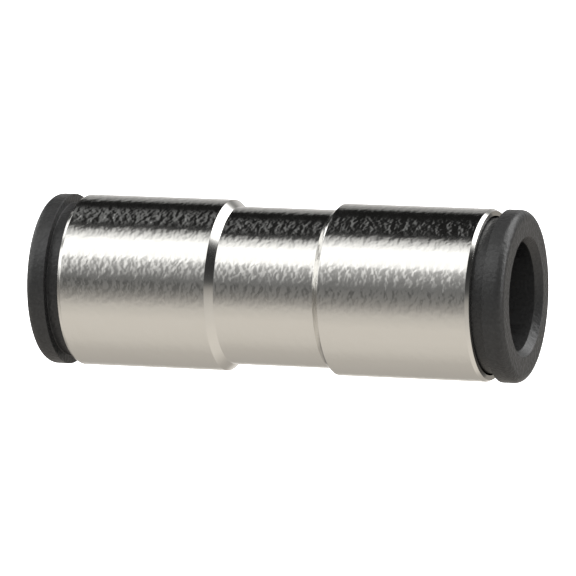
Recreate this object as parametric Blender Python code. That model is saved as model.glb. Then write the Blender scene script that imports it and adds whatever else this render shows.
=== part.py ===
"""Straight push-to-connect union for 8 mm tube.

The tube axis lies along X, +Z is up, and the origin is the middle of the body. Both ends are the same:
each is modelled once, pointing along +X, and the left one is turned half a turn about Z.
Stations are distances from the middle of the body along the axis.
"""

import math

import bmesh
import bpy

MM = 0.001

# Tube that the fitting takes, and the clearance around it
TUBE_RADIUS = 4.0 * MM
TUBE_BORE_CLEARANCE = 0.06 * MM
SLEEVE_BORE_CLEARANCE = 0.1 * MM

# Body, outside
BODY_RADIUS = 6.5 * MM
BODY_HALF_LENGTH = 16.25 * MM
BODY_END_CHAMFER = 0.27 * MM
WAIST_RADIUS = 5.99 * MM
WAIST_HALF_LENGTH = 3.91 * MM
WAIST_CHAMFER_LENGTH = 0.56 * MM

# Body, inside: bores from the middle out to the mouth
FLOW_BORE_RADIUS = 3.15 * MM
TUBE_STOP_STATION = 0.9 * MM
TUBE_BORE_RADIUS = TUBE_RADIUS + TUBE_BORE_CLEARANCE
GLAND_STATION = 6.5 * MM
GLAND_RADIUS = 5.3 * MM
CARTRIDGE_STATION = 8.1 * MM
CARTRIDGE_RADIUS = 5.75 * MM
RECESS_STATION = 14.1 * MM
MOUTH_RADIUS = 6.08 * MM
BORE_EDGE_CHAMFER = 0.3 * MM

# Fits
FIT_GAP = 0.05 * MM
PRESSED_RING_RADIUS = CARTRIDGE_RADIUS - FIT_GAP

# Seal
SEAL_CORD_RADIUS = 0.68 * MM
SEAL_MEAN_RADIUS = 4.58 * MM
SEAL_CORD_SIDES = 12

# Backing ring
BACKING_START = CARTRIDGE_STATION + FIT_GAP
BACKING_END = 9.9 * MM
BACKING_BORE_RADIUS = 4.15 * MM
BACKING_CONE_START = 8.75 * MM
BACKING_CONE_END = 9.35 * MM
BACKING_RIM_INNER_RADIUS = 5.0 * MM

# Grip ring: a flat rim and sprung teeth that lean towards the middle
GRIP_START = BACKING_END + FIT_GAP
GRIP_THICKNESS = 0.3 * MM
GRIP_END = GRIP_START + GRIP_THICKNESS
TOOTH_ROOT_RADIUS = 4.95 * MM
TOOTH_TIP_RADIUS = 3.85 * MM
TOOTH_LEAN = 0.7 * MM
TOOTH_TIP_THICKNESS = 0.18 * MM
TOOTH_COUNT = 16

# Retaining collar
COLLAR_START = GRIP_END + FIT_GAP
COLLAR_END = 14.05 * MM
COLLAR_CLAMP_RADIUS = 5.0 * MM
COLLAR_CLAMP_END = 10.9 * MM
COLLAR_GROOVE_RADIUS = 5.3 * MM
COLLAR_GROOVE_END = 12.9 * MM
COLLAR_LIP_RADIUS = 4.95 * MM
COLLAR_LEAD_IN = 0.3 * MM

# Release sleeve: pressed home, its flange stops short of the body by the clearance
SLEEVE_TRAVEL = 0.9 * MM
PRESSED_CLEARANCE = 0.13 * MM
SLEEVE_FACE = 18.82 * MM
FLANGE_RADIUS = 6.5 * MM
FLANGE_BACK = BODY_HALF_LENGTH + SLEEVE_TRAVEL + PRESSED_CLEARANCE
FLANGE_FRONT_FILLET = 0.66 * MM
FLANGE_BACK_CHAMFER = 0.08 * MM
NECK_RADIUS = 5.7 * MM
NECK_END = 15.2 * MM
NECK_CHAMFER = 0.2 * MM
SLEEVE_BORE_RADIUS = TUBE_RADIUS + SLEEVE_BORE_CLEARANCE
SLEEVE_MOUTH_RADIUS = 4.53 * MM
SLEEVE_LEAD_IN_DEPTH = 0.57 * MM
SKIRT_RADIUS = 4.85 * MM
SNAP_LIP_RADIUS = 5.2 * MM
SNAP_LIP_OUTER = 12.8 * MM
SNAP_LIP_INNER = 12.35 * MM
SNAP_LIP_RAMP_END = 12.0 * MM
NOSE_START = 11.2 * MM
NOSE_END = 10.75 * MM
NOSE_OUTER_RADIUS = 4.5 * MM
NOSE_INNER_CHAMFER = 0.15 * MM
SLOT_WIDTH = 1.0 * MM
SLOT_END = 14.0 * MM

# Facets
SEGMENTS = 48
FILLET_STEPS = 4
SMOOTH_ANGLE = math.radians(30)
MERGE_DISTANCE = 1e-7


def clear_scene():
    for obj in list(bpy.data.objects):
        bpy.data.objects.remove(obj, do_unlink=True)


def make_material(name, colour, roughness, metallic):
    material = bpy.data.materials.new(name)
    material.use_nodes = True
    shader = material.node_tree.nodes["Principled BSDF"]
    shader.inputs["Base Color"].default_value = (*colour, 1.0)
    shader.inputs["Roughness"].default_value = roughness
    shader.inputs["Metallic"].default_value = metallic
    return material


def arc(centre_x, centre_r, radius_x, radius_r, start, end):
    """Points of an elliptic arc in the (x, r) plane; angles in degrees from +x towards +r."""
    angles = [math.radians(start + (end - start) * i / FILLET_STEPS) for i in range(FILLET_STEPS + 1)]
    return [(centre_x + radius_x * math.cos(a), centre_r + radius_r * math.sin(a)) for a in angles]


def turned_mesh(name, profile):
    """Revolve a closed profile of (x, r) points about the X axis."""
    bm = bmesh.new()
    verts = [bm.verts.new((x, 0.0, r)) for x, r in profile]
    edges = [bm.edges.new((a, b)) for a, b in zip(verts, verts[1:] + verts[:1])]
    bmesh.ops.spin(
        bm,
        geom=verts + edges,
        axis=(1.0, 0.0, 0.0),
        cent=(0.0, 0.0, 0.0),
        angle=math.tau,
        steps=SEGMENTS,
        use_merge=True,
    )
    bmesh.ops.remove_doubles(bm, verts=bm.verts, dist=MERGE_DISTANCE)
    bmesh.ops.recalc_face_normals(bm, faces=bm.faces)
    return finish_mesh(name, bm)


def finish_mesh(name, bm):
    mesh = bpy.data.meshes.new(name)
    bm.to_mesh(mesh)
    bm.free()
    mesh.shade_smooth()
    mesh.set_sharp_from_angle(angle=SMOOTH_ANGLE)
    return mesh


def add_piece(name, mesh, parent=None):
    piece = bpy.data.objects.new(name, mesh)
    bpy.context.scene.collection.objects.link(piece)
    piece.parent = parent
    return piece


def half_body_outside():
    """Outside of the right half, from the waist out to the mouth."""
    return [
        (WAIST_HALF_LENGTH, WAIST_RADIUS),
        (WAIST_HALF_LENGTH + WAIST_CHAMFER_LENGTH, BODY_RADIUS),
        (BODY_HALF_LENGTH - BODY_END_CHAMFER, BODY_RADIUS),
        (BODY_HALF_LENGTH, BODY_RADIUS - BODY_END_CHAMFER),
    ]


def half_body_inside():
    """Inside of the right half, from the mouth in to the tube stop."""
    return [
        (BODY_HALF_LENGTH, MOUTH_RADIUS),
        (RECESS_STATION, MOUTH_RADIUS),
        (RECESS_STATION, CARTRIDGE_RADIUS),
        (CARTRIDGE_STATION, CARTRIDGE_RADIUS),
        (CARTRIDGE_STATION, GLAND_RADIUS),
        (GLAND_STATION, GLAND_RADIUS),
        (GLAND_STATION, TUBE_BORE_RADIUS + BORE_EDGE_CHAMFER),
        (GLAND_STATION - BORE_EDGE_CHAMFER, TUBE_BORE_RADIUS),
        (TUBE_STOP_STATION, TUBE_BORE_RADIUS),
        (TUBE_STOP_STATION, FLOW_BORE_RADIUS),
    ]


def make_body(material):
    right_half = half_body_outside() + half_body_inside()
    left_half = [(-x, r) for x, r in reversed(right_half)]
    mesh = turned_mesh("body", left_half + right_half)
    mesh.materials.append(material)
    return add_piece("body", mesh)


def seal_mesh(material):
    centre_x = (GLAND_STATION + BACKING_START) / 2
    angles = [math.tau * i / SEAL_CORD_SIDES for i in range(SEAL_CORD_SIDES)]
    profile = [
        (centre_x + SEAL_CORD_RADIUS * math.cos(a), SEAL_MEAN_RADIUS + SEAL_CORD_RADIUS * math.sin(a))
        for a in angles
    ]
    mesh = turned_mesh("tube_seal", profile)
    mesh.materials.append(material)
    return mesh


def backing_ring_mesh(material):
    profile = [
        (BACKING_START, BACKING_BORE_RADIUS),
        (BACKING_START, PRESSED_RING_RADIUS),
        (BACKING_END, PRESSED_RING_RADIUS),
        (BACKING_END, BACKING_RIM_INNER_RADIUS),
        (BACKING_CONE_END, BACKING_RIM_INNER_RADIUS),
        (BACKING_CONE_START, BACKING_BORE_RADIUS),
    ]
    mesh = turned_mesh("backing_ring", profile)
    mesh.materials.append(material)
    return mesh


def tooth_tip(vert, is_outer):
    """Where a vertex of the rim's inner wall goes when its tooth is drawn out to the tip."""
    radius = math.hypot(vert.co.y, vert.co.z)
    scale = TOOTH_TIP_RADIUS / radius
    x = GRIP_START - TOOTH_LEAN + (TOOTH_TIP_THICKNESS if is_outer else 0.0)
    return (x, vert.co.y * scale, vert.co.z * scale)


def is_on_inner_wall(face):
    centre = face.calc_center_median()
    return math.hypot(centre.y, centre.z) < TOOTH_ROOT_RADIUS


def tooth_roots(bm):
    """Inner wall faces of the rim, one list for each tooth; the last segment of each is the slot."""
    segments_per_tooth = SEGMENTS // TOOTH_COUNT
    roots = {}
    for face in filter(is_on_inner_wall, bm.faces):
        centre = face.calc_center_median()
        angle = math.atan2(centre.y, centre.z) % math.tau
        tooth, place = divmod(int(angle / math.tau * SEGMENTS), segments_per_tooth)
        if place != segments_per_tooth - 1:
            roots.setdefault(tooth, []).append(face)
    return list(roots.values())


def grip_ring_mesh(material):
    """Turn the flat rim, then draw the teeth out of its inner wall."""
    profile = [
        (GRIP_START, TOOTH_ROOT_RADIUS),
        (GRIP_START, PRESSED_RING_RADIUS),
        (GRIP_END, PRESSED_RING_RADIUS),
        (GRIP_END, TOOTH_ROOT_RADIUS),
    ]
    mesh = turned_mesh("grip_ring", profile)
    bm = bmesh.new()
    bm.from_mesh(mesh)
    middle = (GRIP_START + GRIP_END) / 2
    for faces in tooth_roots(bm):
        drawn = bmesh.ops.extrude_face_region(bm, geom=faces)["geom"]
        for vert in [item for item in drawn if isinstance(item, bmesh.types.BMVert)]:
            vert.co = tooth_tip(vert, vert.co.x > middle)
        bmesh.ops.delete(bm, geom=faces, context="FACES")
    bmesh.ops.recalc_face_normals(bm, faces=bm.faces)
    bpy.data.meshes.remove(mesh)
    mesh = finish_mesh("grip_ring", bm)
    mesh.materials.append(material)
    return mesh


def collar_mesh(material):
    profile = [
        (COLLAR_START, COLLAR_CLAMP_RADIUS),
        (COLLAR_START, PRESSED_RING_RADIUS),
        (COLLAR_END, PRESSED_RING_RADIUS),
        (COLLAR_END, COLLAR_LIP_RADIUS + COLLAR_LEAD_IN),
        (COLLAR_END - COLLAR_LEAD_IN, COLLAR_LIP_RADIUS),
        (COLLAR_GROOVE_END, COLLAR_LIP_RADIUS),
        (COLLAR_GROOVE_END, COLLAR_GROOVE_RADIUS),
        (COLLAR_CLAMP_END, COLLAR_GROOVE_RADIUS),
        (COLLAR_CLAMP_END, COLLAR_CLAMP_RADIUS),
    ]
    mesh = turned_mesh("retaining_collar", profile)
    mesh.materials.append(material)
    return mesh


def flange_profile():
    """Front face, rounded rim and back of the sleeve's flange, from the mouth outwards."""
    lead_in = [
        (SLEEVE_FACE - SLEEVE_LEAD_IN_DEPTH, SLEEVE_BORE_RADIUS),
        (SLEEVE_FACE, SLEEVE_MOUTH_RADIUS),
    ]
    rim = arc(
        SLEEVE_FACE - FLANGE_FRONT_FILLET,
        FLANGE_RADIUS - FLANGE_FRONT_FILLET,
        FLANGE_FRONT_FILLET,
        FLANGE_FRONT_FILLET,
        0,
        90,
    )
    back = [
        (FLANGE_BACK + FLANGE_BACK_CHAMFER, FLANGE_RADIUS),
        (FLANGE_BACK, FLANGE_RADIUS - FLANGE_BACK_CHAMFER),
    ]
    return lead_in + rim + back


def neck_and_skirt_profile():
    """Neck, skirt with its snap lip, and nose of the sleeve, from the flange inwards."""
    return [
        (FLANGE_BACK, NECK_RADIUS),
        (NECK_END + NECK_CHAMFER, NECK_RADIUS),
        (NECK_END, NECK_RADIUS - NECK_CHAMFER),
        (NECK_END, SKIRT_RADIUS),
        (SNAP_LIP_OUTER, SKIRT_RADIUS),
        (SNAP_LIP_OUTER, SNAP_LIP_RADIUS),
        (SNAP_LIP_INNER, SNAP_LIP_RADIUS),
        (SNAP_LIP_RAMP_END, SKIRT_RADIUS),
        (NOSE_START, SKIRT_RADIUS),
        (NOSE_END, NOSE_OUTER_RADIUS),
        (NOSE_END, SLEEVE_BORE_RADIUS + NOSE_INNER_CHAMFER),
        (NOSE_END + NOSE_INNER_CHAMFER, SLEEVE_BORE_RADIUS),
    ]


def sleeve_mesh(material):
    mesh = turned_mesh("release_sleeve", flange_profile() + neck_and_skirt_profile())
    mesh.materials.append(material)
    return mesh


def slot_cutter_mesh():
    """Two crossed blades that split the skirt into four fingers."""
    start = NOSE_END - SLOT_WIDTH
    bm = bmesh.new()
    bmesh.ops.create_cube(bm, size=1.0)
    size_x = SLOT_END - start
    reach = 2 * (NECK_RADIUS + SLOT_WIDTH)
    bmesh.ops.scale(bm, vec=(size_x, SLOT_WIDTH, reach), verts=bm.verts)
    bmesh.ops.translate(bm, vec=(start + size_x / 2, 0.0, 0.0), verts=bm.verts)
    return finish_mesh("slot_cutter", bm)


def split_skirt(sleeve, end, cutter_mesh):
    """Cut the four slots, halfway between the Y and Z directions."""
    for index in range(2):
        cutter = add_piece(f"{sleeve.name}_slot_{index + 1}", cutter_mesh, end)
        cutter.rotation_euler.x = math.radians(45 + 90 * index)
        cutter.hide_render = True
        cutter.display_type = "WIRE"
        cut = sleeve.modifiers.new(f"slot_{index + 1}", "BOOLEAN")
        cut.operation = "DIFFERENCE"
        cut.solver = "EXACT"
        cut.object = cutter


def make_ends(materials):
    rings = {
        "retaining_collar": collar_mesh(materials["brass"]),
        "grip_ring": grip_ring_mesh(materials["stainless"]),
        "backing_ring": backing_ring_mesh(materials["plastic"]),
        "tube_seal": seal_mesh(materials["rubber"]),
    }
    sleeve = sleeve_mesh(materials["plastic"])
    cutter = slot_cutter_mesh()
    for side, turn in (("right", 0.0), ("left", math.pi)):
        end = bpy.data.objects.new(f"{side}_end", None)
        bpy.context.scene.collection.objects.link(end)
        end.rotation_euler.z = turn
        for name, mesh in rings.items():
            add_piece(f"{side}_{name}", mesh, end)
        split_skirt(add_piece(f"{side}_release_sleeve", sleeve, end), end, cutter)


def main():
    clear_scene()
    materials = {
        "nickel": make_material("nickel_plated_brass", (0.72, 0.69, 0.64), 0.18, 1.0),
        "brass": make_material("brass", (0.78, 0.57, 0.25), 0.28, 1.0),
        "stainless": make_material("stainless_spring_steel", (0.62, 0.62, 0.61), 0.25, 1.0),
        "plastic": make_material("black_acetal", (0.035, 0.035, 0.033), 0.42, 0.0),
        "rubber": make_material("nitrile_rubber", (0.02, 0.02, 0.02), 0.6, 0.0),
    }
    make_body(materials["nickel"])
    make_ends(materials)


main()
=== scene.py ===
"""Looks of the straight push-to-connect union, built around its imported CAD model.

The tube axis lies along X. Every piece is made in mesh code at its CAD place: the right-hand ones point
along +X, and the left-hand ones are the same meshes turned half a turn about Z.
"""

import math

import bmesh
import bpy
from mathutils import Matrix, Vector


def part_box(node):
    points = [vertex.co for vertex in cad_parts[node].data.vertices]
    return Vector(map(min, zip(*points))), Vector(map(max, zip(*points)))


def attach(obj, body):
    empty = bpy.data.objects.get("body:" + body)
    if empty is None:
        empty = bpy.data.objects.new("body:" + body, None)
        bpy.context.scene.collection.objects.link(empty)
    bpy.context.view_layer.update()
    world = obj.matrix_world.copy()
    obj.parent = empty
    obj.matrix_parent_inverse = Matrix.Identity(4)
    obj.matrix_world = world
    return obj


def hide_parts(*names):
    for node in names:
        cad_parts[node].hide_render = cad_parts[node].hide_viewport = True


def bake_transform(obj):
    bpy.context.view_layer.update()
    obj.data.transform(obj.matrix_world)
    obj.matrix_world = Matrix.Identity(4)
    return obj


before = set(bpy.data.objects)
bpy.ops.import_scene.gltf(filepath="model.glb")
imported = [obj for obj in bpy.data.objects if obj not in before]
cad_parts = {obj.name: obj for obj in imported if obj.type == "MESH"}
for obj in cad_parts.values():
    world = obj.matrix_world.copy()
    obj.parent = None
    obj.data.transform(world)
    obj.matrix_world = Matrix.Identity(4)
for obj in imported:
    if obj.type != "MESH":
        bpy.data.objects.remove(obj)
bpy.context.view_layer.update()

MM = 0.001
TO_MM = 1000.0

# Places that come from the CAD model, in millimetres
body_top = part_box("body")[1] * TO_MM
sleeve_low, sleeve_top = (corner * TO_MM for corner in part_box("right_release_sleeve"))
collar_low, collar_top = (corner * TO_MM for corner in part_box("right_retaining_collar"))
grip_low, grip_top = (corner * TO_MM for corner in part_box("right_grip_ring"))
backing_low, backing_top = (corner * TO_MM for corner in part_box("right_backing_ring"))
seal_low, seal_top = (corner * TO_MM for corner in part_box("right_tube_seal"))

BODY_RADIUS = body_top.z
BODY_HALF_LENGTH = body_top.x
PRESSED_RING_RADIUS = collar_top.z

# Body
END_CHAMFER_LENGTH = 0.28
END_CHAMFER_DEPTH = 0.155
END_CHAMFER_ROUND = 0.08
WAIST_RADIUS = 5.99
WAIST_HALF_LENGTH = 3.91
WAIST_CHAMFER_LENGTH = 0.56
MOUTH_RADIUS = 5.98
RECESS_STATION = 14.1
CARTRIDGE_RADIUS = 5.75
CARTRIDGE_STATION = 8.1
GLAND_RADIUS = 5.3
GLAND_STATION = 6.5
TUBE_BORE_RADIUS = 4.06
BORE_CHAMFER = 0.3
TUBE_STOP_STATION = 0.9
FLOW_BORE_RADIUS = 3.15
EDGE_BREAK = 0.04
MACHINED_RADIUS = 5.9  # faces of the body nearer to the axis than this look machined

# Release sleeve
FLANGE_BACK = 17.28
FLANGE_FILLET = 0.66
FLANGE_BACK_ROUND = 0.03
NECK_RADIUS = 5.84
NECK_END = 15.2
NECK_ROUND = 0.2
SLEEVE_BORE_RADIUS = 4.1
SLEEVE_MOUTH_RADIUS = 4.53
LEAD_IN_DEPTH = 0.57
SKIRT_RADIUS = 4.85
SNAP_LIP_RADIUS = 5.2
SNAP_LIP_STATIONS = (12.0, 12.35, 12.8)
NOSE_LENGTH = 0.45
NOSE_RADIUS = 4.5
SLOT_WIDTH = 1.0
SLOT_END = 14.0
SLOT_CUTS = 2  # each cut goes right through and opens two slots
FIRST_CUT_DEGREES = 45
MOULDED_EDGE = 0.05

# Inner rings
COLLAR_CLAMP_RADIUS = 5.0
COLLAR_CLAMP_END = 10.9
COLLAR_GROOVE_RADIUS = 5.3
COLLAR_GROOVE_END = 12.9
COLLAR_LIP_RADIUS = 4.95
COLLAR_LEAD_IN = 0.3
BACKING_BORE_RADIUS = 4.15
BACKING_CONE_STATIONS = (8.75, 9.35)
BACKING_RIM_RADIUS = 5.0
GRIP_RIM_THICKNESS = 0.3
TOOTH_ROOT_RADIUS = 4.95
TOOTH_TIP_RADIUS = 3.85
TOOTH_TIP_THICKNESS = 0.18
TOOTH_CURL = 1.2  # a tooth's bend grows with this power of the way down it
TOOTH_COUNT = 16

# Facets
SEGMENTS = 192
ARC_STEP = math.radians(12)
SMOOTH_ANGLE = math.radians(30)
GUARD_LENGTH = 0.04
SEAL_SIDES = 24
TOOTH_ROWS = 8
RIM_ROWS = 3
TOOTH_COLUMNS = 12
SLOT_COLUMNS = 3  # of the tooth's columns, the ones left open beside it


# ---------------------------------------------------------------- meshes

def rounded(corners):
    """Closed outline through the (x, r, round) corners, with an arc at each corner that has a round.

    A guard point follows and precedes each arc, so that smooth shading stays on the arc.
    """
    outline = []
    places = [Vector(corner[:2]) for corner in corners]
    for index, (x, r, radius) in enumerate(corners):
        here = places[index]
        if radius == 0:
            outline.append(here)
            continue
        to_last = (places[index - 1] - here).normalized()
        to_next = (places[(index + 1) % len(places)] - here).normalized()
        half_angle = to_last.angle(to_next) / 2
        setback = radius / math.tan(half_angle)
        centre = here + (to_last + to_next).normalized() * radius / math.sin(half_angle)
        turn = math.pi - 2 * half_angle
        steps = max(2, math.ceil(turn / ARC_STEP))
        side = math.copysign(1, to_last.x * to_next.y - to_last.y * to_next.x)
        first = here + to_last * setback - centre
        outline.append(here + to_last * (setback + GUARD_LENGTH))
        for step in range(steps + 1):
            spoke = first.copy()
            spoke.rotate(Matrix.Rotation(-side * turn * step / steps, 2))
            outline.append(centre + spoke)
        outline.append(here + to_next * (setback + GUARD_LENGTH))
    return outline


def turned_mesh(name, outline):
    """Revolve a closed outline of (x, r) points, in millimetres, about the X axis."""
    bm = bmesh.new()
    rings = []
    for step in range(SEGMENTS):
        angle = math.tau * step / SEGMENTS
        across, up = math.cos(angle) * MM, math.sin(angle) * MM
        rings.append([bm.verts.new((x * MM, r * across, r * up)) for x, r in outline])
    count = len(outline)
    for ring, after in zip(rings, rings[1:] + rings[:1]):
        for i in range(count):
            j = (i + 1) % count
            bm.faces.new((ring[i], ring[j], after[j], after[i]))
    return finished_mesh(name, bm)


def finished_mesh(name, bm):
    """The mesh with its normals outwards, smooth but for the edges over SMOOTH_ANGLE."""
    bmesh.ops.recalc_face_normals(bm, faces=bm.faces)
    mesh = bpy.data.meshes.new(name)
    bm.to_mesh(mesh)
    bm.free()
    mesh.shade_smooth()
    mesh.set_sharp_from_angle(angle=SMOOTH_ANGLE)
    return mesh


def add_object(name, mesh):
    """An object of that mesh, in the scene's own collection."""
    made = bpy.data.objects.new(name, mesh)
    bpy.context.scene.collection.objects.link(made)
    return made


def body_outline():
    """The body in section: the right half, and its mirror image."""
    right_half = [
        (WAIST_HALF_LENGTH, WAIST_RADIUS, EDGE_BREAK),
        (WAIST_HALF_LENGTH + WAIST_CHAMFER_LENGTH, BODY_RADIUS, EDGE_BREAK),
        (BODY_HALF_LENGTH - END_CHAMFER_LENGTH, BODY_RADIUS, END_CHAMFER_ROUND),
        (BODY_HALF_LENGTH, BODY_RADIUS - END_CHAMFER_DEPTH, EDGE_BREAK / 2),
        (BODY_HALF_LENGTH, MOUTH_RADIUS, EDGE_BREAK / 2),
        (RECESS_STATION, MOUTH_RADIUS, 0),
        (RECESS_STATION, CARTRIDGE_RADIUS, EDGE_BREAK),
        (CARTRIDGE_STATION, CARTRIDGE_RADIUS, 0),
        (CARTRIDGE_STATION, GLAND_RADIUS, EDGE_BREAK),
        (GLAND_STATION, GLAND_RADIUS, 0),
        (GLAND_STATION, TUBE_BORE_RADIUS + BORE_CHAMFER, EDGE_BREAK),
        (GLAND_STATION - BORE_CHAMFER, TUBE_BORE_RADIUS, EDGE_BREAK),
        (TUBE_STOP_STATION, TUBE_BORE_RADIUS, 0),
        (TUBE_STOP_STATION, FLOW_BORE_RADIUS, EDGE_BREAK),
    ]
    left_half = [(-x, r, radius) for x, r, radius in reversed(right_half)]
    return rounded(left_half + right_half)


def sleeve_outline():
    """The release sleeve in section: flange, neck, and skirt with its snap lip."""
    face = sleeve_top.x
    lip_ramp, lip_inner, lip_outer = SNAP_LIP_STATIONS
    nose = sleeve_low.x
    return rounded([
        (face - LEAD_IN_DEPTH, SLEEVE_BORE_RADIUS, MOULDED_EDGE),
        (face, SLEEVE_MOUTH_RADIUS, MOULDED_EDGE),
        (face, BODY_RADIUS, FLANGE_FILLET),
        (FLANGE_BACK, BODY_RADIUS, FLANGE_BACK_ROUND),
        (FLANGE_BACK, NECK_RADIUS, MOULDED_EDGE),
        (NECK_END, NECK_RADIUS, NECK_ROUND),
        (NECK_END, SKIRT_RADIUS, MOULDED_EDGE),
        (lip_outer, SKIRT_RADIUS, 0),
        (lip_outer, SNAP_LIP_RADIUS, MOULDED_EDGE),
        (lip_inner, SNAP_LIP_RADIUS, MOULDED_EDGE),
        (lip_ramp, SKIRT_RADIUS, 0),
        (nose + NOSE_LENGTH, SKIRT_RADIUS, MOULDED_EDGE),
        (nose, NOSE_RADIUS, MOULDED_EDGE),
        (nose, SLEEVE_BORE_RADIUS, MOULDED_EDGE),
    ])


def collar_outline():
    """The retaining collar in section, with the groove that keeps the snap lip."""
    start, end = collar_low.x, collar_top.x
    return rounded([
        (start, COLLAR_CLAMP_RADIUS, EDGE_BREAK),
        (start, PRESSED_RING_RADIUS, EDGE_BREAK),
        (end, PRESSED_RING_RADIUS, EDGE_BREAK),
        (end, COLLAR_LIP_RADIUS + COLLAR_LEAD_IN, EDGE_BREAK),
        (end - COLLAR_LEAD_IN, COLLAR_LIP_RADIUS, EDGE_BREAK),
        (COLLAR_GROOVE_END, COLLAR_LIP_RADIUS, EDGE_BREAK),
        (COLLAR_GROOVE_END, COLLAR_GROOVE_RADIUS, 0),
        (COLLAR_CLAMP_END, COLLAR_GROOVE_RADIUS, 0),
        (COLLAR_CLAMP_END, COLLAR_CLAMP_RADIUS, EDGE_BREAK),
    ])


def backing_outline():
    """The backing ring in section, hollowed in a cone where the teeth bend into it."""
    cone_start, cone_end = BACKING_CONE_STATIONS
    return rounded([
        (backing_low.x, BACKING_BORE_RADIUS, MOULDED_EDGE),
        (backing_low.x, PRESSED_RING_RADIUS, MOULDED_EDGE),
        (backing_top.x, PRESSED_RING_RADIUS, MOULDED_EDGE),
        (backing_top.x, BACKING_RIM_RADIUS, MOULDED_EDGE),
        (cone_end, BACKING_RIM_RADIUS, 0),
        (cone_start, BACKING_BORE_RADIUS, MOULDED_EDGE),
    ])


def seal_outline():
    """The O-ring's round cord in section."""
    cord_radius = (seal_top.x - seal_low.x) / 2
    centre = Vector(((seal_low.x + seal_top.x) / 2, seal_top.z - cord_radius))
    angles = [math.tau * side / SEAL_SIDES for side in range(SEAL_SIDES)]
    return [centre + Vector((math.cos(a), math.sin(a))) * cord_radius for a in angles]


def tooth_share(radius):
    """How far down the tooth that radius lies: 0 at the root and on the rim, 1 at the tip."""
    share = (TOOTH_ROOT_RADIUS - radius) / (TOOTH_ROOT_RADIUS - TOOTH_TIP_RADIUS)
    return max(0.0, share)


def grip_ring_mesh():
    """A flat rim whose sprung teeth bend towards the middle, drawn as one sheet and given its thickness."""
    rim_station = grip_top.x - GRIP_RIM_THICKNESS
    lean = rim_station - grip_low.x
    tooth_depth = TOOTH_ROOT_RADIUS - TOOTH_TIP_RADIUS
    rim_depth = PRESSED_RING_RADIUS - TOOTH_ROOT_RADIUS
    radii = [TOOTH_TIP_RADIUS + tooth_depth * row / TOOTH_ROWS for row in range(TOOTH_ROWS)]
    radii += [TOOTH_ROOT_RADIUS + rim_depth * row / RIM_ROWS for row in range(RIM_ROWS + 1)]
    bm = bmesh.new()
    around = TOOTH_COUNT * TOOTH_COLUMNS
    grid = {}

    def vert(row, column):
        key = (row, column % around)
        if key not in grid:
            radius, angle = radii[row] * MM, math.tau * key[1] / around
            bend = lean * tooth_share(radii[row]) ** TOOTH_CURL
            x = (rim_station - bend) * MM
            grid[key] = bm.verts.new((x, radius * math.cos(angle), radius * math.sin(angle)))
        return grid[key]

    for column in range(around):
        is_slot = column % TOOTH_COLUMNS >= TOOTH_COLUMNS - SLOT_COLUMNS
        for row in range(TOOTH_ROWS if is_slot else 0, len(radii) - 1):
            corners = ((row, column), (row, column + 1), (row + 1, column + 1), (row + 1, column))
            bm.faces.new([vert(*corner) for corner in corners])
    drawn = bmesh.ops.extrude_face_region(bm, geom=bm.faces[:])["geom"]
    for item in drawn:
        if isinstance(item, bmesh.types.BMVert):
            share = tooth_share(math.hypot(item.co.y, item.co.z) * TO_MM)
            item.co.x += (GRIP_RIM_THICKNESS + (TOOTH_TIP_THICKNESS - GRIP_RIM_THICKNESS) * share) * MM
    return finished_mesh("grip_ring", bm)


def slotted_sleeve_mesh():
    """The turned sleeve with its skirt split into four fingers."""
    sleeve = add_object("uncut_sleeve", turned_mesh("release_sleeve", sleeve_outline()))
    start = sleeve_low.x - SLOT_WIDTH
    length = SLOT_END - start
    past_both_sides = 4 * BODY_RADIUS
    cutters = []
    for number in range(SLOT_CUTS):
        bm = bmesh.new()
        bmesh.ops.create_cube(bm, size=1.0)
        bmesh.ops.scale(bm, vec=Vector((length, SLOT_WIDTH, past_both_sides)) * MM, verts=bm.verts)
        bmesh.ops.translate(bm, vec=((start + length / 2) * MM, 0.0, 0.0), verts=bm.verts)
        turn = Matrix.Rotation(math.radians(FIRST_CUT_DEGREES + 180 * number / SLOT_CUTS), 4, "X")
        bmesh.ops.transform(bm, matrix=turn, verts=bm.verts)
        cutter = add_object("slot_cutter", finished_mesh("slot_cutter", bm))
        cut = sleeve.modifiers.new("slot", "BOOLEAN")
        cut.operation = "DIFFERENCE"
        cut.solver = "EXACT"
        cut.object = cutter
        cutters.append(cutter)
    evaluated = sleeve.evaluated_get(bpy.context.evaluated_depsgraph_get())
    mesh = bpy.data.meshes.new_from_object(evaluated)
    mesh.name = "release_sleeve"
    for helper in [sleeve, *cutters]:
        bpy.data.objects.remove(helper)
    return mesh


# ---------------------------------------------------------------- materials

def add_node(tree, kind, inputs=None, **settings):
    """Add a node; an input is given by name or index, as a value or as the socket that feeds it."""
    made = tree.nodes.new(kind)
    for name, value in settings.items():
        setattr(made, name, value)
    for name, value in (inputs or {}).items():
        if isinstance(value, bpy.types.NodeSocket):
            tree.links.new(value, made.inputs[name])
        else:
            made.inputs[name].default_value = value
    return made


def new_material(name, metallic=0.0):
    """A material, its node tree and its Principled shader."""
    material = bpy.data.materials.new(name)
    material.use_nodes = True
    tree = material.node_tree
    shader = tree.nodes["Principled BSDF"]
    shader.inputs["Metallic"].default_value = metallic
    return material, tree, shader


def noise(tree, size, detail=2.0, stretch=(1.0, 1.0, 1.0), distortion=0.0):
    """Noise over the object's own coordinates; size is a feature's size in millimetres."""
    place = add_node(tree, "ShaderNodeTexCoord").outputs["Object"]
    scale = [1.0 / (size * MM * s) for s in stretch]
    mapped = add_node(tree, "ShaderNodeMapping", {"Vector": place, "Scale": scale})
    inputs = {"Vector": mapped.outputs[0], "Scale": 1.0, "Detail": detail, "Distortion": distortion}
    return add_node(tree, "ShaderNodeTexNoise", inputs).outputs["Fac"]


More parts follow.
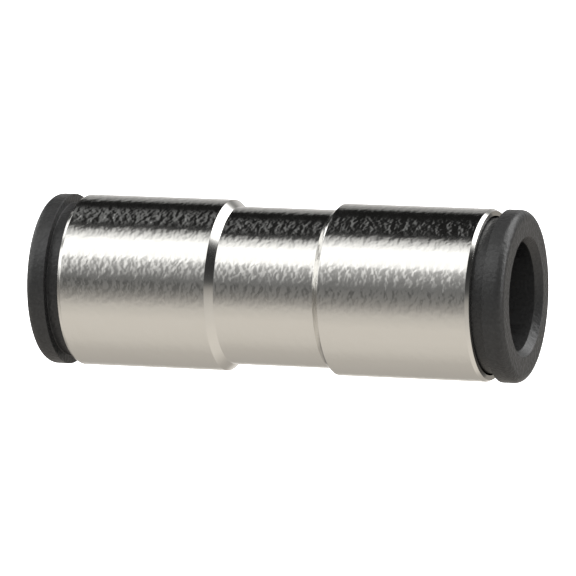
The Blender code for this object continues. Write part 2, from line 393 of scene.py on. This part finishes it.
def remap(tree, value, low, high, start=0.3, end=0.7):
    """Low where the value is at start, high where it is at end, and clamped outside them."""
    inputs = {"Value": value, "From Min": start, "From Max": end, "To Min": low, "To Max": high}
    return add_node(tree, "ShaderNodeMapRange", inputs).outputs[0]


def mix_colours(tree, share, first, second):
    """From the first colour to the second; each is (r, g, b) or the socket that feeds it."""
    inputs = {"Factor": share}
    for index, colour in ((6, first), (7, second)):
        inputs[index] = colour if isinstance(colour, bpy.types.NodeSocket) else (*colour, 1.0)
    return add_node(tree, "ShaderNodeMix", inputs, data_type="RGBA").outputs[2]


def vary_surface(tree, shader, pattern, colours, roughness):
    """Colour and roughness that run between two values each as the pattern does."""
    tree.links.new(mix_colours(tree, pattern, *colours), shader.inputs["Base Color"])
    tree.links.new(remap(tree, pattern, *roughness), shader.inputs["Roughness"])


def bump(tree, height, depth, below=None):
    """Bump of that depth in millimetres, on top of another bump if one is given."""
    inputs = {"Height": height, "Distance": depth * MM, "Strength": 1.0}
    if below is not None:
        inputs["Normal"] = below
    return add_node(tree, "ShaderNodeBump", inputs).outputs[0]


# How much of the nickel's ripple is kept: along X, Y and Z, and on faces turned to X
RIPPLE_SHARE = (1.1, 0.28, 0.28)
END_FACE_SHARE = 0.05
TURNED_START = 0.08
TURNED_END = 0.35


def squashed_normal(tree, bumped, share):
    """A bumped normal that keeps that share of its lean along X, Y and Z, and little on faces turned to X."""
    plain = add_node(tree, "ShaderNodeNewGeometry").outputs["Normal"]
    along = add_node(tree, "ShaderNodeSeparateXYZ", {0: plain}).outputs["X"]
    turned = add_node(tree, "ShaderNodeMath", {0: along}, operation="ABSOLUTE").outputs[0]
    kept = remap(tree, turned, 1.0, END_FACE_SHARE, start=TURNED_START, end=TURNED_END)
    lean = add_node(tree, "ShaderNodeVectorMath", {0: bumped, 1: plain}, operation="SUBTRACT").outputs[0]
    inputs = {0: lean, "Scale": kept}
    scaled = add_node(tree, "ShaderNodeVectorMath", inputs, operation="SCALE").outputs[0]
    inputs = {0: scaled, 1: share, 2: plain}
    normal = add_node(tree, "ShaderNodeVectorMath", inputs, operation="MULTIPLY_ADD").outputs[0]
    return add_node(tree, "ShaderNodeVectorMath", {0: normal}, operation="NORMALIZE").outputs[0]


def nickel():
    """Bright nickel over turned brass: a fine peel, drawn out around the body, under a slight haze."""
    material, tree, shader = new_material("nickel_plate", metallic=1.0)
    haze = noise(tree, 1.6, detail=3.0)
    vary_surface(tree, shader, haze, ((0.70, 0.69, 0.655), (0.73, 0.72, 0.69)), (0.10, 0.14))
    peel = noise(tree, 0.48, detail=1.0, stretch=(1.0, 1.1, 1.1), distortion=0.15)
    rippled = bump(tree, peel, 0.040)
    tree.links.new(squashed_normal(tree, rippled, RIPPLE_SHARE), shader.inputs["Normal"])
    return material


def machined_bore():
    """Nickel inside the bores, over the rings that the boring tool left."""
    material, tree, shader = new_material("machined_bore", metallic=1.0)
    marks = noise(tree, 0.05, detail=3.0, stretch=(1.0, 60.0, 60.0))
    vary_surface(tree, shader, marks, ((0.60, 0.58, 0.54), (0.68, 0.66, 0.62)), (0.22, 0.34))
    tree.links.new(bump(tree, marks, 0.006), shader.inputs["Normal"])
    return material


def acetal():
    """Black moulded acetal with the fine grain of an eroded mould."""
    material, tree, shader = new_material("black_acetal")
    grain = noise(tree, 0.25, detail=2.0)
    vary_surface(tree, shader, grain, ((0.012, 0.012, 0.012), (0.040, 0.040, 0.0394)), (0.40, 0.30))
    tree.links.new(bump(tree, grain, 0.045), shader.inputs["Normal"])
    shader.inputs["Specular IOR Level"].default_value = 0.42
    return material


def brass():
    """Bare turned brass, with the marks of the tool around it."""
    material, tree, shader = new_material("bare_brass", metallic=1.0)
    marks = noise(tree, 0.06, detail=3.0, stretch=(1.0, 40.0, 40.0))
    vary_surface(tree, shader, marks, ((0.74, 0.52, 0.21), (0.82, 0.61, 0.29)), (0.2, 0.34))
    tree.links.new(bump(tree, marks, 0.006), shader.inputs["Normal"])
    return material


def spring_steel():
    """Stainless strip, with the grain of its rolling."""
    material, tree, shader = new_material("spring_steel", metallic=1.0)
    grain = noise(tree, 0.08, detail=3.0, stretch=(1.0, 1.0, 9.0))
    vary_surface(tree, shader, grain, ((0.55, 0.55, 0.54), (0.66, 0.66, 0.65)), (0.18, 0.32))
    tree.links.new(bump(tree, grain, 0.004), shader.inputs["Normal"])
    return material


def rubber():
    """Dull black nitrile rubber with a faint bloom."""
    material, tree, shader = new_material("nitrile_rubber")
    bloom = noise(tree, 0.5, detail=4.0)
    vary_surface(tree, shader, bloom, ((0.014, 0.014, 0.014), (0.026, 0.026, 0.027)), (0.5, 0.68))
    tree.links.new(bump(tree, noise(tree, 0.07), 0.004), shader.inputs["Normal"])
    return material


# ---------------------------------------------------------------- pieces

def add_piece(name, mesh, materials, node, body):
    """One piece in place of that CAD node; a piece without a body is left unparented, and its caller bakes
    its place into the mesh.
    """
    piece = add_object(name, mesh)
    for material in materials:
        mesh.materials.append(material)
    if body is not None:
        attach(piece, body)
    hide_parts(node)
    return piece


def add_body(materials):
    """The body, plated outside (first material) and machined inside (second)."""
    mesh = turned_mesh("body_shell", body_outline())
    for face in mesh.polygons:
        radius = math.hypot(face.center.y, face.center.z)
        face.material_index = int(radius < MACHINED_RADIUS * MM)
    return add_piece("body_shell", mesh, materials, "body", "housing")


def turned_end(mesh, side):
    """The mesh for that end: the left one points along -X."""
    mesh = mesh.copy()
    if side == "left":
        mesh.transform(Matrix.Rotation(math.pi, 4, "Z"))
    return mesh


def add_ends(materials):
    """The five cartridge pieces of each end; materials go by their slot's name."""
    sleeve = slotted_sleeve_mesh()
    rings = [
        ("retaining_collar", turned_mesh("retaining_collar", collar_outline()), "bare_brass"),
        ("backing_ring", turned_mesh("backing_ring", backing_outline()), "black_acetal"),
        ("tube_seal", turned_mesh("tube_seal", seal_outline()), "nitrile_rubber"),
    ]
    grip = grip_ring_mesh()
    for side, direction in (("right", 1), ("left", -1)):
        sleeve_body = f"{side}_sleeve"
        slot = "black_acetal"
        moulding = turned_end(sleeve, side)
        node = f"{side}_release_sleeve"
        add_piece(f"{side}_sleeve_moulding", moulding, [materials[slot]], node, sleeve_body)
        for name, mesh, slot in rings:
            ring = turned_end(mesh, side)
            node = f"{side}_{name}"
            add_piece(f"{side}_{name}_fine", ring, [materials[slot]], node, "housing")
        slot = "stainless_spring_steel"
        ring = turned_end(grip, side)
        node = f"{side}_grip_ring"
        teeth = add_piece(f"{side}_grip_teeth", ring, [materials[slot]], node, None)
        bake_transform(teeth)


# ---------------------------------------------------------------- studio

CAMERA_AZIMUTH = math.radians(18.567)
CAMERA_ELEVATION = math.radians(6.885)
CAMERA_DISTANCE = 501.05 * MM
CAMERA_SHIFT = (0.0006, -0.0013)
CLIP_START = 0.01
CLIP_END = 200.0
LENS = 414.06
SENSOR = 36.0
FLOOR_DROP = 600 * MM
FLOOR_SIZE = 120.0
FLOOR_COLOUR = (0.9, 0.9, 0.9, 1.0)
WHITE = (1.0, 1.0, 1.0, 1.0)
PEAK_RADIANCE = 5.0
DOME_BELOW = 0.25
DOME_ABOVE = 1.9
WARM_TINT = (1.0, 0.941, 0.865)

# Studio brightness by the angle round the X axis: 0 is level, towards the camera's side, and 90 straight up.
# Each stop is (degrees, radiance, warmth). The stops were listed near the brightness that the metal
# shows in the photograph at each reflected angle, and were moved until the bands matched.
MIDDLE_STOPS = [
    # behind, low down
    (-180, 0.72, 0.3), (-172, 0.80, 0.4), (-162, 0.90, 0.6), (-153, 0.72, 0.9),
    # the warm floor, from behind to the front
    (-146, 0.48, 1.0), (-140, 0.50, 1.0), (-100, 0.61, 1.0), (-80, 0.74, 1.0), (-64, 0.79, 1.0),
    (-44, 0.80, 1.0), (-28, 0.69, 0.9), (-20, 0.54, 0.8),
    # the dim front
    (-12, 0.37, 0.7), (-4, 0.275, 0.4), (4, 0.23, 0.2), (12, 0.20, 0.0), (20, 0.26, 0.0),
    (28, 0.38, 0.0), (35, 0.54, 0.0),
    # the large light in front and above
    (41, 1.4, 0.0), (62, 1.6, 0.0), (70, 1.19, 0.0), (76, 0.80, 0.0), (80, 0.48, 0.0),
    # the black screen overhead
    (84, 0.08, 0.0), (88, 0.015, 0.0), (141, 0.01, 0.0),
    # the wall behind
    (151, 0.33, 0.1), (158, 0.38, 0.2), (166, 0.62, 0.3), (174, 0.70, 0.3), (180, 0.72, 0.3),
]
LEFT_STOPS = [
    # behind, low down, and the warm floor
    (-180, 0.9, 0.5), (-143, 0.48, 1.0), (-100, 0.61, 1.0), (-80, 0.74, 1.0), (-60, 0.79, 1.0),
    (-44, 0.80, 1.0), (-28, 0.68, 0.9), (-20, 0.47, 0.8),
    # the dim front
    (-12, 0.28, 0.7), (-4, 0.17, 0.4), (5, 0.11, 0.1), (12, 0.20, 0.0), (20, 0.50, 0.0),
    # the large light in front and above
    (28, 0.82, 0.0), (34, 1.05, 0.0), (40, 1.6, 0.0), (64, 1.6, 0.0), (70, 1.0, 0.0), (76, 0.55, 0.0),
    # the black screen overhead, with a slightly cool grey patch in it
    (82, 0.12, 0.0), (87, 0.03, 0.0), (92, 0.10, -0.2), (97, 0.19, -0.2), (114, 0.22, -0.2),
    (120, 0.16, -0.2), (126, 0.02, 0.0), (140, 0.01, 0.0),
    # the wall behind
    (150, 0.33, 0.0), (158, 0.40, 0.1), (165, 0.58, 0.2), (172, 0.74, 0.2), (180, 0.8, 0.4),
]
STEP_LEFT_STOPS = [
    # behind, low down, and the warm floor
    (-180, 0.25, 0.8), (-154, 0.25, 1.0), (-140, 0.48, 1.0), (-100, 0.61, 1.0), (-80, 0.74, 1.0),
    (-60, 0.79, 1.0), (-44, 0.80, 1.0), (-28, 0.68, 0.9),
    # the dim front and the large light above it
    (5, 0.12, 0.1), (40, 1.6, 0.0), (64, 1.6, 0.0),
    # the black screen overhead, with a brighter patch in it
    (82, 0.12, 0.0), (90, 0.12, 0.0), (98, 0.62, -0.2), (116, 0.62, -0.2), (126, 0.02, 0.0),
    # behind
    (165, 0.03, 0.0), (180, 0.1, 0.5),
]
REAR_LEFT_STOPS = [
    # behind, low down, and the warm floor
    (-180, 0.45, 1.0), (-165, 0.36, 1.0), (-148, 0.29, 1.0), (-137, 0.30, 1.0), (-122, 0.6, 1.0),
    (-103, 0.85, 1.0), (-89, 0.76, 1.0), (-72, 0.62, 1.0), (-47, 0.32, 0.9),
    # the dim front
    (-20, 0.25, 0.5), (0, 0.4, 0.2),
    # the large light, in two parts with a dark strip between them
    (20, 1.7, 0.0), (90, 1.7, 0.0), (95, 0.35, 0.0), (105, 0.25, 0.0), (110, 1.7, 0.0), (130, 1.7, 0.0),
    # a dark strip and a bright one behind and above
    (136, 0.05, 0.0), (145, 0.05, 0.0), (149, 1.7, 0.0), (151, 2.6, 0.0), (162, 2.6, 0.0),
    (166, 0.2, 0.2), (180, 0.45, 0.8),
]
FAR_LEFT_STOPS = [
    # below
    (-180, 0.45, 1.0), (-103, 0.85, 1.0), (-72, 0.62, 1.0), (-47, 0.28, 0.9), (-6, 0.14, 0.3),
    # above
    (43, 0.22, 0.0), (61, 0.28, 0.0), (75, 0.50, 0.0), (95, 1.7, 0.0), (180, 0.45, 0.8),
]
RIGHT_STOPS = [
    # behind, low down, and the warm floor
    (-180, 0.32, 1.0), (-150, 0.52, 1.0), (-138, 0.68, 1.0), (-126, 0.82, 1.0), (-108, 0.85, 1.0),
    (-78, 0.84, 1.0), (-55, 0.78, 0.9), (-29, 0.62, 0.8),
    # the front, dark above the level
    (-4, 0.38, 0.7), (8, 0.14, 0.2), (15, 0.083, 0.0), (37, 0.045, 0.0), (66, 0.03, 0.0), (78, 0.05, 0.0),
    # the strong light overhead and behind
    (84, 0.16, 0.0), (90, 0.75, 0.0), (96, 1.8, 0.0), (104, 3.5, 0.0), (160, 3.5, 0.0), (164, 1.6, 0.0),
    # behind
    (169, 0.5, 0.1), (176, 0.2, 0.3), (180, 0.2, 0.5),
]

# From the middle to the left, where one part of the studio gives way to the next: (stops, from, to), in the
# share of the direction that lies along X
LEFT_PARTS = [
    (LEFT_STOPS, -0.29, -0.385),
    (STEP_LEFT_STOPS, -0.42, -0.47),
    (REAR_LEFT_STOPS, -0.66, -0.70),
    (FAR_LEFT_STOPS, -0.97, -0.98),
]
RIGHT_PART_START = 0.02
RIGHT_PART_END = 0.25

# In the right part, angles from the level are multiplied by RIGHT_SPREAD before the ramp is read, where the
# direction's share along X is below SPREAD_START, and are left as they are above SPREAD_END
RIGHT_SPREAD = 1.13
SPREAD_START = 0.58
SPREAD_END = 0.78


def share_of_turn(degrees):
    """That angle round the X axis as a share of the whole turn, from 0 at -180 to 1 at 180 degrees."""
    return (degrees + 180) / 360


def brightness_ramp(tree, turn, stops):
    """The colour of the light from that share of the turn, as a share of PEAK_RADIANCE."""
    made = add_node(tree, "ShaderNodeValToRGB", {"Fac": turn})
    elements = made.color_ramp.elements
    for stop in stops[1:-1]:
        elements.new(share_of_turn(stop[0]))
    for element, (degrees, radiance, warmth) in zip(elements, stops):
        element.position = share_of_turn(degrees)
        level = radiance / PEAK_RADIANCE
        element.color = [level * (1 + (tint - 1) * warmth) for tint in WARM_TINT] + [1.0]
    return made.outputs["Color"]


def smooth_share(tree, value, start, end):
    """0 where the value is at start and 1 where it is at end, with soft ends."""
    inputs = {"Value": value, "From Min": start, "From Max": end}
    return add_node(tree, "ShaderNodeMapRange", inputs, interpolation_type="SMOOTHSTEP").outputs[0]


def studio_colour(tree, split):
    """The colour of the light from a direction, given split into its X, Y and Z."""
    sideways = split.outputs["X"]
    inputs = {0: split.outputs["Y"], 1: -1.0}
    forward = add_node(tree, "ShaderNodeMath", inputs, operation="MULTIPLY").outputs[0]
    inputs = {0: split.outputs["Z"], 1: forward}
    angle = add_node(tree, "ShaderNodeMath", inputs, operation="ARCTAN2").outputs[0]
    inputs = {"Value": angle, "From Min": -math.pi, "From Max": math.pi}
    turn = add_node(tree, "ShaderNodeMapRange", inputs).outputs[0]
    colour = brightness_ramp(tree, turn, MIDDLE_STOPS)
    for stops, start, end in LEFT_PARTS:
        part = brightness_ramp(tree, turn, stops)
        colour = mix_colours(tree, smooth_share(tree, sideways, start, end), colour, part)
    spread = remap(tree, sideways, RIGHT_SPREAD, 1.0, start=SPREAD_START, end=SPREAD_END)
    from_level = add_node(tree, "ShaderNodeMath", {0: turn, 1: 0.5}, operation="SUBTRACT").outputs[0]
    inputs = {0: from_level, 1: spread, 2: 0.5}
    right_turn = add_node(tree, "ShaderNodeMath", inputs, operation="MULTIPLY_ADD").outputs[0]
    right = brightness_ramp(tree, right_turn, RIGHT_STOPS)
    share = smooth_share(tree, sideways, RIGHT_PART_START, RIGHT_PART_END)
    return mix_colours(tree, share, colour, right)


def add_studio_light():
    """The studio for reflections, a plain dome for diffuse light, and white for the backdrop."""
    world = bpy.data.worlds.new("studio")
    bpy.context.scene.world = world
    world.use_nodes = True
    tree = world.node_tree
    tree.nodes.clear()
    direction = add_node(tree, "ShaderNodeTexCoord").outputs["Generated"]
    split = add_node(tree, "ShaderNodeSeparateXYZ", {0: direction})
    inputs = {"Color": studio_colour(tree, split), "Strength": PEAK_RADIANCE}
    studio = add_node(tree, "ShaderNodeBackground", inputs).outputs[0]
    dome_level = remap(tree, split.outputs["Z"], DOME_BELOW, DOME_ABOVE, start=-1.0, end=1.0)
    dome = add_node(tree, "ShaderNodeBackground", {"Color": WHITE, "Strength": dome_level}).outputs[0]
    backdrop = add_node(tree, "ShaderNodeBackground", {"Color": WHITE}).outputs[0]
    path = add_node(tree, "ShaderNodeLightPath")
    inputs = {0: path.outputs["Is Diffuse Ray"], 1: studio, 2: dome}
    light = add_node(tree, "ShaderNodeMixShader", inputs).outputs[0]
    inputs = {0: path.outputs["Is Camera Ray"], 1: light, 2: backdrop}
    both = add_node(tree, "ShaderNodeMixShader", inputs).outputs[0]
    add_node(tree, "ShaderNodeOutputWorld", {"Surface": both})


def add_floor():
    """A pale floor far below, which reflections and diffuse light pass by."""
    bm = bmesh.new()
    bmesh.ops.create_grid(bm, x_segments=1, y_segments=1, size=FLOOR_SIZE / 2)
    floor = add_object("floor", finished_mesh("floor", bm))
    floor.location.z = -FLOOR_DROP
    material, _, shader = new_material("pale_floor")
    shader.inputs["Base Color"].default_value = FLOOR_COLOUR
    shader.inputs["Emission Color"].default_value = WHITE
    shader.inputs["Emission Strength"].default_value = 1.0
    floor.data.materials.append(material)
    floor.visible_glossy = False
    floor.visible_diffuse = False


def add_camera():
    """A long lens, to the right and slightly above, looking at the middle of the body."""
    camera = bpy.data.objects.new("camera", bpy.data.cameras.new("camera"))
    bpy.context.scene.collection.objects.link(camera)
    level = math.cos(CAMERA_ELEVATION)
    across = math.sin(CAMERA_AZIMUTH) * level
    towards = -math.cos(CAMERA_AZIMUTH) * level
    back = Vector((across, towards, math.sin(CAMERA_ELEVATION)))
    camera.location = back * CAMERA_DISTANCE
    camera.rotation_euler = back.to_track_quat("Z", "Y").to_euler()
    camera.data.sensor_width = SENSOR
    camera.data.lens = LENS
    camera.data.shift_x, camera.data.shift_y = CAMERA_SHIFT
    camera.data.clip_start = CLIP_START
    camera.data.clip_end = CLIP_END
    bpy.context.scene.camera = camera


def main():
    """Build the whole picture around the frame."""
    add_camera()
    add_floor()
    add_studio_light()
    add_body([nickel(), machined_bore()])
    add_ends({
        "black_acetal": acetal(),
        "bare_brass": brass(),
        "stainless_spring_steel": spring_steel(),
        "nitrile_rubber": rubber(),
    })
    bpy.context.scene.view_settings.view_transform = "Standard"


main()
